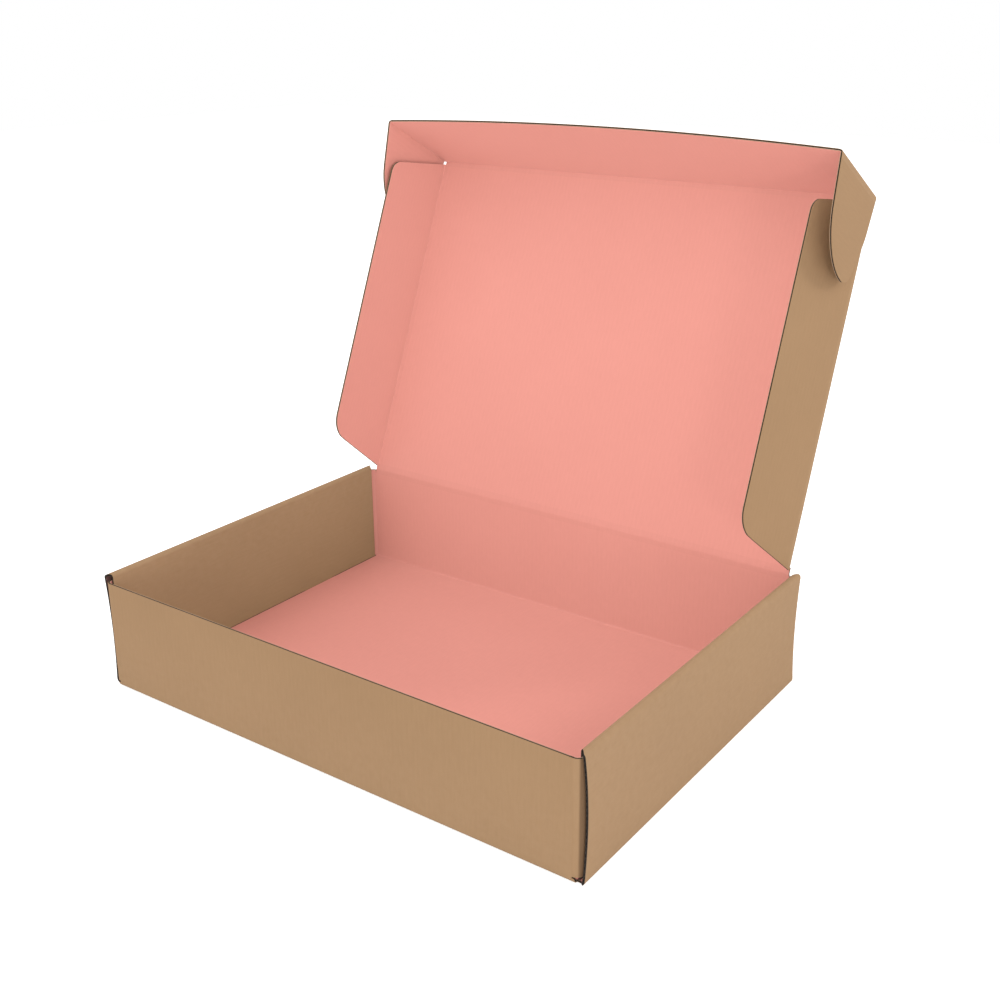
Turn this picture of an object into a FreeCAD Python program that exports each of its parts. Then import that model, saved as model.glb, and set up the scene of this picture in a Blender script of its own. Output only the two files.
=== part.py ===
import FreeCAD, Part
import math
import os

# Corrugated mailer box, folded from one die-cut sheet and shown open.
# Millimetres. The origin is the middle of the tray's underside on the table,
# +X runs along the front wall, +Y to the back wall with the lid's crease, +Z up.

# Sheet, its bends and the slack between its layers
board = 1.2
bendInside = 1.2
creaseSlack = 0.25
squareFold = 90.0

# Tray, outside sizes, and how far the side walls and the lid's crease stand above the front wall
boxWidth = 299.0
boxDepth = 209.8
frontHeight = 60.0
sideRise = 3.8
hingeRise = 2.0

# Double side walls: the outer panel's ends are set back and curved, the inner panel is shorter
# and hangs free
outerEndTop = 0.4
outerEndMiddle = 3.2
outerEndBottom = 0.8
innerEndGap = 2.5
innerFloorGap = 0.25

# Dust flaps that run from the front and back walls into the double side walls, with more
# room on the outer panel's side than on the inner panel's
dustOuterSlack = 0.65
dustInnerSlack = 0.14
dustLength = 88.0
dustTopDrop = 1.2
dustTaper = 7.0
dustRound = 9.0
dustFloorGap = 0.6

# Corners where the front and back walls turn into the dust flaps in a wide bend, over a slit
# that parts it from the floor's bend
cornerBendInside = 1.5
cornerSlit = 0.3
cornerSlitRun = 2.4

# Locking tabs under the inner panels and their slots in the floor
tabCount = 2
tabLength = 24.0
tabSpacing = 96.0
tabRound = 0.4
tabDepthSlack = 0.2
slotSlack = 0.12

# Lid: how far it stands open, and its fit inside the tray
lidOpenAngle = 112.5
lidFrontClearance = 5.4
lidSideClearance = 0.9
earSlack = 0.3
lidCornerHole = 1.1
hingeShoulder = 0.2

# Side flaps of the lid, each folded in from the lid's plane by its own angle
rightFlapAngle = 103.5
leftFlapAngle = 91.5
flapFloorClearance = 10.0
flapHingeGap = 2.0
flapSlantRun = 16.6
flapHingeRound = 15.0
flapFrontGap = 1.6
flapFrontAngle = 15.0
flapFrontRound = 8.0

# Tuck flap along the lid's front, and its angle from the lid's plane
tuckAngle = 83.7
tuckFloorClearance = 0.1
tuckArch = 1.0
tuckCreaseInset = 1.6

# Ears at the tuck flap's ends: a tip whose upper edge slopes down from the crease, and a lobe
# below it that runs round to the tuck flap's free edge
earInset = 0.4
earTipReach = 53.5
earTipAcross = 6.0
earTipRound = 12.0
earLobeReach = 47.5
earLobeAcross = 47.0
earLobeRound = 42.0

# Sizes that follow
halfBoard = board / 2
bendOutside = board + bendInside
layerRoom = board + dustOuterSlack + dustInnerSlack
doubleWall = 2 * board + layerRoom
rollRadius = doubleWall / 2
sideHeight = frontHeight + sideRise
rollBase = sideHeight - rollRadius
rollX = boxWidth / 2 - rollRadius
innerFace = boxWidth / 2 - doubleWall
dustFace = boxWidth / 2 - board - dustOuterSlack
cornerBendOutside = board + cornerBendInside
wallEnd = dustFace - cornerBendOutside
floorBendEnd = innerFace - slotSlack
hingeY = boxDepth / 2 - halfBoard
hingeHeight = frontHeight + hingeRise
roomUnderLid = hingeHeight - board
flapWidth = roomUnderLid - flapFloorClearance
tuckEndHeight = roomUnderLid - tuckFloorClearance - tuckArch
lidDepth = boxDepth - 2 * board - lidFrontClearance
earPlane = innerFace - lidSideClearance - halfBoard
lidHalf = earPlane - halfBoard - earSlack
panelStart = halfBoard + creaseSlack
lidEdgeRound = 0.7 * board


def vec(x, y, z):
    return FreeCAD.Vector(x, y, z)


def onX(x):
    # Puts an outline's two coordinates on Y and Z, at one X.
    return lambda a, b: vec(x, a, b)


def onY(y):
    # Puts an outline's two coordinates on X and Z, at one Y.
    return lambda a, b: vec(a, y, b)


def roundedPlate(corners, place, thickness):
    # A flat plate from corners (across, along, radius), each rounded by a tangent arc.
    count = len(corners)
    starts, middles, ends = [], [], []
    for i, (a, b, radius) in enumerate(corners):
        here = vec(a, b, 0)
        before = vec(corners[i - 1][0], corners[i - 1][1], 0) - here
        after = vec(corners[(i + 1) % count][0], corners[(i + 1) % count][1], 0) - here
        before.normalize()
        after.normalize()
        half = before.getAngle(after) / 2
        inward = before + after
        if radius > 0 and inward.Length > 1e-6:
            inward.normalize()
            reach = radius / math.tan(half)
            centre = here + inward * (radius / math.sin(half))
            starts.append(here + before * reach)
            middles.append(centre - inward * radius)
            ends.append(here + after * reach)
        else:
            starts.append(here)
            middles.append(None)
            ends.append(here)
    edges = []
    for i in range(count):
        if middles[i] is not None:
            arc = [place(p.x, p.y) for p in (starts[i], middles[i], ends[i])]
            edges.append(Part.Arc(*arc).toShape())
        following = starts[(i + 1) % count]
        if (following - ends[i]).Length > 1e-6:
            line = Part.LineSegment(place(ends[i].x, ends[i].y), place(following.x, following.y))
            edges.append(line.toShape())
    return Part.Face(Part.Wire(edges)).extrude(thickness)


def boxBetween(low, high):
    # A block between two opposite corners.
    size = high - low
    return Part.makeBox(size.x, size.y, size.z, low)


def mirrored(shape):
    # The same piece on the other side of the box.
    return shape.mirror(vec(0, 0, 0), vec(1, 0, 0))


def bothSides(shape):
    return [shape, mirrored(shape)]


def quarterBend(centre, axis, start, length, inside):
    # A quarter turn of the sheet about an axis, from the start direction, anticlockwise.
    ring = Part.makeCylinder(inside + board, length, centre, axis, squareFold)
    ring = ring.cut(Part.makeCylinder(inside, length, centre, axis, 360))
    built = ring.BoundBox.Center
    turn = math.degrees(signedAngle(built - centre, start, axis)) + squareFold / 2
    ring.rotate(centre, axis, turn)
    return ring


def signedAngle(first, second, axis):
    # The angle from one direction to another about an axis, ignoring their run along it.
    flatFirst = first - axis * first.dot(axis)
    flatSecond = second - axis * second.dot(axis)
    cross = flatFirst.cross(flatSecond).dot(axis)
    return math.atan2(cross, flatFirst.dot(flatSecond))


def floorPanel():
    # The flat floor, with a slot for each locking tab.
    reachX = boxWidth / 2 - bendOutside
    reachY = boxDepth / 2 - bendOutside
    floor = boxBetween(vec(-reachX, -reachY, 0), vec(reachX, reachY, board))
    slotHalf = tabLength / 2 + slotSlack
    for y in tabCentres():
        low = vec(innerFace - slotSlack, y - slotHalf, -board)
        high = vec(innerFace + board + slotSlack, y + slotHalf, 2 * board)
        floor = floor.cut(bothSides(boxBetween(low, high)))
    return floor


def tabCentres():
    return [tabSpacing * (i - (tabCount - 1) / 2) for i in range(tabCount)]


def floorBend(toward):
    # The bend under the front (-1) or back (1) wall, which runs on a little under the corners.
    centre = vec(-floorBendEnd, toward * (boxDepth / 2 - bendOutside), bendOutside)
    start = vec(0, -1, 0) if toward < 0 else vec(0, 0, -1)
    return quarterBend(centre, vec(1, 0, 0), start, 2 * floorBendEnd, bendInside)


def frontWall():
    # The front wall stands on its bend and ends at a cut edge.
    low = vec(-wallEnd, -boxDepth / 2, bendOutside)
    high = vec(wallEnd, -boxDepth / 2 + board, frontHeight)
    return [boxBetween(low, high), floorBend(-1)]


def backWall():
    # The back wall narrows near its top to the lid's crease, which ends in a round bead.
    inner = boxDepth / 2 - board
    shoulder = frontHeight - dustTopDrop
    creaseHalf = lidHalf - hingeShoulder
    wall = boxBetween(vec(-wallEnd, inner, bendOutside), vec(wallEnd, boxDepth / 2, shoulder))
    neck = boxBetween(vec(-creaseHalf, inner, shoulder), vec(creaseHalf, boxDepth / 2, hingeHeight))
    bead = Part.makeCylinder(halfBoard, 2 * creaseHalf, vec(-creaseHalf, hingeY, hingeHeight), vec(1, 0, 0))
    return [wall, neck, bead, floorBend(1)]


def sideWall():
    # The rolled side wall: up from the floor, over the top in a round roll and down inside.
    outside = boxWidth / 2
    edgeY = boxDepth / 2
    at = onY(-edgeY)
    slope = math.sqrt(0.5)
    bendX = outside - bendOutside
    bottom = board + innerFloorGap
    rollInside = rollRadius - board
    edges = [
        Part.Arc(at(bendX, 0), at(bendX + bendOutside * slope, bendOutside * (1 - slope)), at(outside, bendOutside)),
        Part.LineSegment(at(outside, bendOutside), at(outside, rollBase)),
        Part.Arc(at(outside, rollBase), at(rollX, sideHeight), at(innerFace, rollBase)),
        Part.LineSegment(at(innerFace, rollBase), at(innerFace, bottom)),
        Part.LineSegment(at(innerFace, bottom), at(innerFace + board, bottom)),
        Part.LineSegment(at(innerFace + board, bottom), at(innerFace + board, rollBase)),
        Part.Arc(at(innerFace + board, rollBase), at(rollX, rollBase + rollInside), at(outside - board, rollBase)),
        Part.LineSegment(at(outside - board, rollBase), at(outside - board, bendOutside)),
        Part.Arc(at(outside - board, bendOutside),
                 at(bendX + bendInside * slope, bendOutside - bendInside * slope), at(bendX, board)),
        Part.LineSegment(at(bendX, board), at(bendX, 0)),
    ]
    face = Part.Face(Part.Wire([edge.toShape() for edge in edges]))
    wall = face.extrude(vec(0, 2 * edgeY, 0))
    return wall.cut([slantedEnd(-1), slantedEnd(1), curvedEnd(-1), curvedEnd(1)])


def slantedEnd(toward):
    # What is cut from the wall's end in plan: square across the inner panel, then slanting
    # out over the roll to the outer panel's end.
    edgeY = boxDepth / 2
    inner = edgeY - board - innerEndGap
    outer = edgeY - outerEndTop
    beyond = edgeY + board
    outline = [
        (innerFace - board, inner),
        (innerFace + board, inner),
        (boxWidth / 2 - board, outer),
        (boxWidth / 2 + board, outer),
        (boxWidth / 2 + board, beyond),
        (innerFace - board, beyond),
    ]
    points = [vec(x, toward * y, -board) for x, y in outline]
    face = Part.Face(Part.makePolygon(points + points[:1]))
    return face.extrude(vec(0, 0, sideHeight + 2 * board))


def curvedEnd(toward):
    # What is cut from the outer panel's end: a strip whose inner side is a shallow arc.
    x = boxWidth / 2 - bendOutside
    at = onX(x)
    edgeY = boxDepth / 2
    low = at(toward * (edgeY - outerEndBottom), 0)
    middle = at(toward * (edgeY - outerEndMiddle), rollBase / 2)
    high = at(toward * (edgeY - outerEndTop), rollBase)
    outerLow = at(toward * (edgeY + board), 0)
    outerHigh = at(toward * (edgeY + board), rollBase)
    edges = [
        Part.Arc(low, middle, high).toShape(),
        Part.LineSegment(high, outerHigh).toShape(),
        Part.LineSegment(outerHigh, outerLow).toShape(),
        Part.LineSegment(outerLow, low).toShape(),
    ]
    strip = Part.Face(Part.Wire(edges))
    return strip.extrude(vec(bendOutside + board, 0, 0))


def lockingTab(y):
    # A tab under the inner panel, down through the floor's slot with its lower corners rounded.
    half = tabLength / 2
    low = tabDepthSlack
    high = board + innerFloorGap + board
    corners = [(y - half, low, tabRound), (y + half, low, tabRound), (y + half, high, 0), (y - half, high, 0)]
    return roundedPlate(corners, onX(innerFace), vec(board, 0, 0))


def dustFlap(toward):
    # A flap from the end of the front (-1) or back (1) wall, round the corner between the side layers.
    low = bendOutside + cornerSlit
    top = frontHeight if toward < 0 else frontHeight - dustTopDrop
    edgeY = boxDepth / 2
    near = edgeY - cornerBendOutside
    centre = vec(wallEnd, toward * near, low)
    start = vec(0, -1, 0) if toward < 0 else vec(1, 0, 0)
    bend = quarterBend(centre, vec(0, 0, 1), start, top - low, cornerBendInside)
    far = edgeY - dustLength
    corners = [
        (toward * near, low, 0),
        (toward * near, top, 0),
        (toward * far, top - dustTaper, dustRound),
        (toward * far, board + dustFloorGap, dustRound),
        (toward * (near - cornerSlitRun), board + dustFloorGap, 0),
    ]
    strip = roundedPlate(corners, onX(dustFace - board), vec(board, 0, 0))
    return [bend, strip]


def makeTray():
    pieces = frontWall() + backWall()
    halves = [sideWall()]
    for y in tabCentres():
        halves.append(lockingTab(y))
    for toward in (-1, 1):
        halves += dustFlap(toward)
    for half in halves:
        pieces += bothSides(half)
    return floorPanel().fuse(pieces).removeSplitter()


def openLid(shape):
    # From the closed lid, with its crease on the origin, to the open lid on the back wall.
    shape.rotate(vec(0, 0, 0), vec(1, 0, 0), -lidOpenAngle)
    shape.translate(vec(0, hingeY, hingeHeight))
    return shape


def unfoldTuck(shape):
    # From square to the lid to the fold that the tuck flap rests at.
    return shape.rotate(vec(0, -lidDepth, 0), vec(1, 0, 0), tuckAngle - squareFold)


def makeLidPanel():
    # The lid's panel covers the top of its side flaps with a rounded edge, and ends in
    # a round bead along the tuck flap's crease.
    at = onY(-lidDepth)
    straight = lidHalf - lidEdgeRound
    low, high = -halfBoard, halfBoard
    bow = lidEdgeRound * (1 - math.sqrt(0.5))
    edges = [
        Part.LineSegment(at(-lidHalf, low), at(lidHalf, low)),
        Part.LineSegment(at(lidHalf, low), at(lidHalf, high - lidEdgeRound)),
        Part.Arc(at(lidHalf, high - lidEdgeRound), at(lidHalf - bow, high - bow), at(straight, high)),
        Part.LineSegment(at(straight, high), at(-straight, high)),
        Part.Arc(at(-straight, high), at(-lidHalf + bow, high - bow), at(-lidHalf, high - lidEdgeRound)),
        Part.LineSegment(at(-lidHalf, high - lidEdgeRound), at(-lidHalf, low)),
    ]
    face = Part.Face(Part.Wire([edge.toShape() for edge in edges]))
    panel = face.extrude(vec(0, lidDepth - panelStart, 0))
    creaseHalf = lidHalf - tuckCreaseInset
    bead = Part.makeCylinder(halfBoard, 2 * creaseHalf, vec(-creaseHalf, -lidDepth, 0), vec(1, 0, 0))
    hole = Part.makeCylinder(lidCornerHole, 4 * board, vec(lidHalf, -lidDepth, -2 * board), vec(0, 0, 1))
    return openLid(panel.fuse(bead).cut(bothSides(hole)).removeSplitter())


def sideFlap(angle):
    # The right side flap: slanted at the hinge end, leaning back at the tuck end. It turns on
    # the inner edge of its crease, and is folded in from the lid's plane by its own angle.
    crease = -halfBoard - creaseSlack
    front = -lidDepth + flapFrontGap
    lean = (flapWidth + crease) * math.tan(math.radians(flapFrontAngle))
    corners = [
        (-flapHingeGap, crease, 0),
        (-flapHingeGap - flapSlantRun, -flapWidth, flapHingeRound),
        (front + lean, -flapWidth, flapFrontRound),
        (front, crease, 0),
    ]
    flap = roundedPlate(corners, onX(lidHalf - board), vec(board, 0, 0))
    return flap.rotate(vec(lidHalf - board, 0, crease), vec(0, 1, 0), angle - squareFold)


def makeTuckFlap():
    # The tuck flap hangs from the lid's front crease, its free edge arched, a bead down each end.
    front = -lidDepth - halfBoard
    at = onY(front)
    low, high = -tuckEndHeight, -panelStart
    edges = [
        Part.LineSegment(at(-earPlane, high), at(earPlane, high)),
        Part.LineSegment(at(earPlane, high), at(earPlane, low)),
        Part.Arc(at(earPlane, low), at(0, low - tuckArch), at(-earPlane, low)),
        Part.LineSegment(at(-earPlane, low), at(-earPlane, high)),
    ]
    face = Part.Face(Part.Wire([edge.toShape() for edge in edges]))
    flap = face.extrude(vec(0, board, 0))
    bead = Part.makeCylinder(halfBoard, high - low, vec(earPlane, -lidDepth, low), vec(0, 0, 1))
    return openLid(unfoldTuck(flap.fuse(bothSides(bead)).removeSplitter()))


def ear():
    # An ear folded back along the lid's side, with a round tip and a rounder lobe below it.
    front = -lidDepth
    corners = [
        (front + panelStart, -earInset, 0),
        (front + earTipReach, -earTipAcross, earTipRound),
        (front + earLobeReach, -earLobeAcross, earLobeRound),
        (front + panelStart, earInset - tuckEndHeight, 0),
    ]
    return roundedPlate(corners, onX(earPlane - halfBoard), vec(board, 0, 0))


def main():
    os.makedirs("parts", exist_ok=True)
    nodes = {
        "tray": makeTray(),
        "lid_panel": makeLidPanel(),
        "tuck_flap": makeTuckFlap(),
        "right_side_flap": openLid(sideFlap(rightFlapAngle)),
        "left_side_flap": openLid(mirrored(sideFlap(leftFlapAngle))),
        "right_ear": openLid(unfoldTuck(ear())),
        "left_ear": openLid(unfoldTuck(mirrored(ear()))),
    }
    for name, shape in nodes.items():
        shape.exportStep("parts/" + name + ".step")


main()
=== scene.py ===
import math

import bpy
import numpy as np
from mathutils import Matrix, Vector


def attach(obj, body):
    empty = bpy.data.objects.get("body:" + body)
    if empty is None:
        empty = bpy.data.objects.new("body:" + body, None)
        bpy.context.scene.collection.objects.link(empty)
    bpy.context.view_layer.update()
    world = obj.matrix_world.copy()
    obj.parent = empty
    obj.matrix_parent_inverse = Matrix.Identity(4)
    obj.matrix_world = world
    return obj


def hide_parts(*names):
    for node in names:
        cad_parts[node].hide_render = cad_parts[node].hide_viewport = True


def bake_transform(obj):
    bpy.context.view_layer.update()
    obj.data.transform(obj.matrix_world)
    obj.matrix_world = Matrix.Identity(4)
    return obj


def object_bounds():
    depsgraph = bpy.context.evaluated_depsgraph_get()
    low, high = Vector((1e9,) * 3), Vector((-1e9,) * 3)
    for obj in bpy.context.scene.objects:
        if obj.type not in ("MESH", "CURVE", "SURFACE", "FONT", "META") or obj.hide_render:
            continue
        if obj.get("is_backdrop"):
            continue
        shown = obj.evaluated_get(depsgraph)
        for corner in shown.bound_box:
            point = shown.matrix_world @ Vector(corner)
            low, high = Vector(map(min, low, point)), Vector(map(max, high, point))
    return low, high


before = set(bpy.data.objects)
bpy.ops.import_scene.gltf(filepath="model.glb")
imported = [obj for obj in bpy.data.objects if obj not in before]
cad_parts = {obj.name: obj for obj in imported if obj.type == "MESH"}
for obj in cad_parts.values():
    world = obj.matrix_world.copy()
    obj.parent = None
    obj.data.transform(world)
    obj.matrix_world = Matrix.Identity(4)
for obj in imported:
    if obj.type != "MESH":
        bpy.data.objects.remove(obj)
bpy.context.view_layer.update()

mm = 0.001
print("frame loaded:", len(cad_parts), "CAD nodes")

# Lengths below are in millimetres and angles in degrees, until a mesh is filled in metres.
# The sheet has a kraft liner outside, a printed liner inside and a waved core between them.
# Sheet coordinates: a runs across the flutes, b along them, n through the board to the print.
board = {
    "thickness": 1.2,
    "liner": 0.28,
    "core": 0.12,
    "flutePitch": 2.9,
    "stepsPerFlute": 8,
    "coreDepth": 9.0,      # how far in from a cut edge the core is built
    "creaseReach": 3.5,    # half the width of the bent strip at a crease that moves
    "creaseBlend": 2.2,    # half the width over which that strip bends
    "creaseCrush": 0.12,   # share of the thickness that scoring takes away
    "creaseWidth": 0.9,    # half the width of that dip
    "creaseStep": 0.5,     # gap between rows over a bend
    "creaseFold": 0.6,     # how strongly the fold colour shows along it, worn fibre with painted highlight and crease shade, from 0 to 1
    "turnSteps": 10,
}
kraftFace, printFace, shadeFace, rimFace = 0, 1, 2, 3


def unit(v):
    return v / np.linalg.norm(v)


def bentLine(*corners):
    # Mid-line of the bent sheet through corners (u, v, radius): straight runs joined by arcs.
    # An arc's point is its centre plus radius * (cos, sin) of an angle that grows evenly,
    # and the normal to the left of the line turns with it.
    points = np.array([c[:2] for c in corners], float)
    left = np.array([[0, -1], [1, 0]])
    places, normals = [points[:1]], [(left @ unit(points[1] - points[0]))[None]]
    for i in range(1, len(corners) - 1):
        before, after = unit(points[i] - points[i - 1]), unit(points[i + 1] - points[i])
        turn = math.atan2(before[0] * after[1] - before[1] * after[0], before @ after)
        side, radius = math.copysign(1, turn), corners[i][2]
        first = left @ before
        centre = points[i] - before * radius * math.tan(abs(turn) / 2) + first * side * radius
        angles = np.linspace(0, turn, board["turnSteps"] + 1)
        turned = np.stack([first[0] * np.cos(angles) - first[1] * np.sin(angles),
                           first[0] * np.sin(angles) + first[1] * np.cos(angles)], 1)
        places.append(centre - side * radius * turned)
        normals.append(turned)
    places.append(points[-1:])
    normals.append((left @ unit(points[-1] - points[-2]))[None])
    places, normals = np.concatenate(places), np.concatenate(normals)
    run = np.concatenate([[0], np.cumsum(np.linalg.norm(np.diff(places, axis=0), axis=1))])
    bearing = np.unwrap(np.arctan2(normals[:, 1], normals[:, 0]))
    turning = np.abs(np.gradient(bearing, run + 1e-6 * np.arange(len(run))))
    return {"run": run, "place": places, "normal": normals, "fold": np.clip(turning, 0, 1)}


def along(line, s, n):
    # A point at run s of a bent line, n to its left.
    at = [np.interp(s, line["run"], line[key][:, k]) for key in ("place", "normal") for k in (0, 1)]
    return at[0] + n * at[2], at[1] + n * at[3]


def rounded(*corners):
    # Closed outline from corners (a, b, radius), each rounded by an arc that touches both sides.
    points = np.array([c[:2] for c in corners], float)
    drawn = []
    for i, (_, _, radius) in enumerate(corners):
        before, after = unit(points[i - 1] - points[i]), unit(points[(i + 1) % len(corners)] - points[i])
        if radius == 0:
            drawn.append(points[i][None])
            continue
        half = math.acos(before @ after) / 2
        inward = unit(before + after)
        middle = math.atan2(-inward[1], -inward[0])
        side = math.copysign(1, before[0] * after[1] - before[1] * after[0])
        angles = middle + side * np.linspace(math.pi / 2 - half, half - math.pi / 2, 17)
        centre = points[i] + inward * radius / math.sin(half)
        drawn.append(centre + radius * np.stack([np.cos(angles), np.sin(angles)], 1))
    return np.concatenate(drawn)


def spans(outline, a):
    # Lowest and highest b of an outline at each a: where its sides cross that column. Past the
    # outline's ends, those of its end.
    start, end = outline, np.roll(outline, -1, axis=0)
    run = end[:, 0] - start[:, 0]
    sloped = np.abs(run) > 1e-9
    start, end, run = start[sloped], end[sloped], run[sloped]
    inside = np.clip(a, outline[:, 0].min(), outline[:, 0].max())
    share = (inside[:, None] - start[:, 0]) / run
    onEdge = (share >= -1e-9) & (share <= 1 + 1e-9)
    b = np.where(onEdge, start[:, 1] + share * (end[:, 1] - start[:, 1]), np.nan)
    return np.nanmin(b, axis=1), np.nanmax(b, axis=1)


def edgesOf(outline):
    # The outline's near and far edge, each as a function of a.
    return (lambda a: spans(outline, a)[0]), (lambda a: spans(outline, a)[1])


def spaced(values, most):
    # The same values with more between them, evenly, so that no gap is wider than most.
    values = np.unique(np.round(values, 6))
    runs = [np.linspace(p, q, max(1, math.ceil((q - p) / most)) + 1)[:-1]
            for p, q in zip(values[:-1], values[1:])]
    return np.concatenate(runs + [values[-1:]])


def closedSheet(lower, upper, coords, slots, fold, paintedShade=0):
    # Two grids of points over the same parameters, joined round their rim into a closed skin.
    rows, columns = lower.shape[:2]
    verts = np.concatenate([lower.reshape(-1, 3), upper.reshape(-1, 3)])
    index = np.arange(rows * columns).reshape(rows, columns)
    quads = np.stack([index[:-1, :-1], index[1:, :-1], index[1:, 1:], index[:-1, 1:]], -1).reshape(-1, 4)
    ring = np.concatenate([index[0, :-1], index[:-1, -1], index[-1, :0:-1], index[:0:-1, 0]])
    after = np.roll(ring, -1)
    rim = np.stack([ring, after, after + index.size, ring + index.size], -1)
    faces = np.concatenate([quads[:, ::-1], quads + index.size, rim])[:, ::-1]
    a, b, c, d = (verts[faces[:, k]] for k in range(4))
    volume = np.einsum("ij,ij->", a, np.cross(b, c) + np.cross(c, d))
    if volume < 0:
        faces = faces[:, ::-1]
    kinds = np.repeat(slots, [len(quads), len(quads), len(rim)])
    marks = [np.tile(np.broadcast_to(mark, (rows, columns)).ravel(), 2) for mark in (fold, paintedShade)]
    return verts, faces, kinds, np.tile(coords.reshape(-1, 2), (2, 1)), *marks


def boardOf(place, a, low, high, shares=(0, 1), origin=(0, 0), fold=0, crush=None, paintedShade=(0, 0),
            rims=(kraftFace, rimFace)):
    # The two liners over columns a, each from low to high, cut at these shares of its length.
    # Painted shade, a share from 0 to 1 of the darker tone each liner is painted with as shade, and rims are
    # given for the kraft liner and the printed one.
    shares = np.asarray(shares, float)[:, None]
    across = np.broadcast_to(a, (len(shares), len(a)))
    lengthwise = np.broadcast_to(low + shares * (np.asarray(high) - low), across.shape)
    coords = np.stack([across + origin[0], lengthwise + origin[1]], -1)
    half, liner = board["thickness"] / 2, board["liner"]
    thin = 1 if crush is None else crush(across, lengthwise)
    folds = np.broadcast_to(fold, across.shape)
    skins = []
    for inner, outer, slots, shadeMark in ((-half + liner, -half, (shadeFace, kraftFace, rims[0]), paintedShade[0]),
                                        (half - liner, half, (shadeFace, printFace, rims[1]), paintedShade[1])):
        grids = [np.stack(np.broadcast_arrays(*place(across, lengthwise, n * thin)), -1)
                 for n in (inner, outer)]
        skins.append(closedSheet(*grids, coords, slots, folds, shadeMark))
    return skins


def coreOf(place, start, end, low, high, bands="all", origin=(0, 0)):
    # The waved core: height = amplitude * sin(2 pi a / pitch), so its flutes run along b.
    # Bands are 'low', 'high' and 'all': near one cut edge, the other, or the whole length.
    a = np.linspace(start, end, max(8, round((end - start) / board["flutePitch"] * board["stepsPerFlute"])))
    low, high = (edge(a) if callable(edge) else np.full(len(a), float(edge)) for edge in (low, high))
    depth = np.minimum(board["coreDepth"], (high - low) / 2)
    ends = {"low": [(low, low + depth)], "high": [(high - depth, high)], "all": [(low, high)]}
    ends["both"] = ends["low"] + ends["high"]
    reach = board["thickness"] / 2 - board["liner"] - board["core"] / 2
    wave = reach * np.sin(2 * math.pi * (a + origin[0]) / board["flutePitch"])
    skins = []
    for near, far in ends[bands]:
        lengthwise = np.stack([near, far])
        across = np.broadcast_to(a, lengthwise.shape)
        grids = [np.stack(np.broadcast_arrays(*place(across, lengthwise, level)), -1)
                 for level in (wave - board["core"] / 2, wave + board["core"] / 2)]
        coords = np.stack([across + origin[0], lengthwise + origin[1]], -1)
        skins.append(closedSheet(*grids, coords, (shadeFace,) * 3, np.zeros(across.shape)))
    return skins


materials = {}


def makePiece(pieceName, skins, node=None):
    # One mesh from closed skins, with its sheet coordinates as UVs, and as attributes how sharply it is
    # folded and how much painted shade its colour takes.
    offsets = np.cumsum([0] + [len(skin[0]) for skin in skins[:-1]])
    verts = np.concatenate([skin[0] for skin in skins]) * mm
    faces = np.concatenate([skin[1] + offset for skin, offset in zip(skins, offsets)])
    mesh = bpy.data.meshes.new(pieceName)
    mesh.from_pydata(verts.tolist(), [], faces.tolist())
    mesh.polygons.foreach_set("material_index", np.concatenate([skin[2] for skin in skins]).astype(np.int32))
    mesh.polygons.foreach_set("use_smooth", np.ones(len(faces), bool))
    coords = np.concatenate([skin[3] for skin in skins]) * mm
    mesh.uv_layers.new(name="sheet").data.foreach_set("uv", coords[faces.ravel()].astype(np.float32).ravel())
    for key, name in ((4, "fold"), (5, "paintedShade")):
        marks = mesh.attributes.new(name, "FLOAT", "POINT")
        marks.data.foreach_set("value", np.concatenate([skin[key] for skin in skins]).astype(np.float32))
    for material in (materials[key] for key in ("kraft", "print", "cut", "rim")):
        mesh.materials.append(material)
    mesh.set_sharp_from_angle(angle=math.radians(38))
    mesh.update()
    piece = bpy.data.objects.new(pieceName, mesh)
    bpy.context.scene.collection.objects.link(piece)
    if node:
        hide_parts(node)
    return piece


kraftLook = {
    "fibreScale": 900.0,
    "cloudScale": 14.0,
    "light": (0.384, 0.235, 0.126, 1),
    "dark": (0.350, 0.212, 0.111, 1),
    "bounce": (0.45, 0.38, 0.31, 1),
    "fluteMark": 0.04,
    "roughness": (0.78, 0.92),
}
printLook = {
    "fibreScale": 1300.0,
    "cloudScale": 9.0,
    "light": (0.840, 0.340, 0.282, 1),
    "dark": (0.800, 0.318, 0.262, 1),
    "bounce": (0.90, 0.83, 0.81, 1),
    "fluteMark": 0.05,
    "roughness": (0.55, 0.68),
}
# Painted shade: the fluted core and the liners' inner faces are near black, the shade in the flute hollows,
# not the board's brown.
coreShadeLook = {
    "fibreScale": 2200.0,
    "light": (0.100, 0.080, 0.065, 1),
    "dark": (0.040, 0.033, 0.028, 1),
    "bounce": (0.06, 0.05, 0.04, 1),
    "roughness": (0.85, 0.98),
}
rimLook = {
    "fibreScale": 2200.0,
    "light": (0.520, 0.360, 0.240, 1),
    "dark": (0.400, 0.260, 0.165, 1),
    "bounce": (0.34, 0.25, 0.17, 1),
    "roughness": (0.85, 0.98),
}


def addNode(tree, kind, place=(0, 0), **inputs):
    node = tree.nodes.new(kind)
    node.location = place
    for name, value in inputs.items():
        node.inputs[name.replace("_", " ")].default_value = value
    return node


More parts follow.
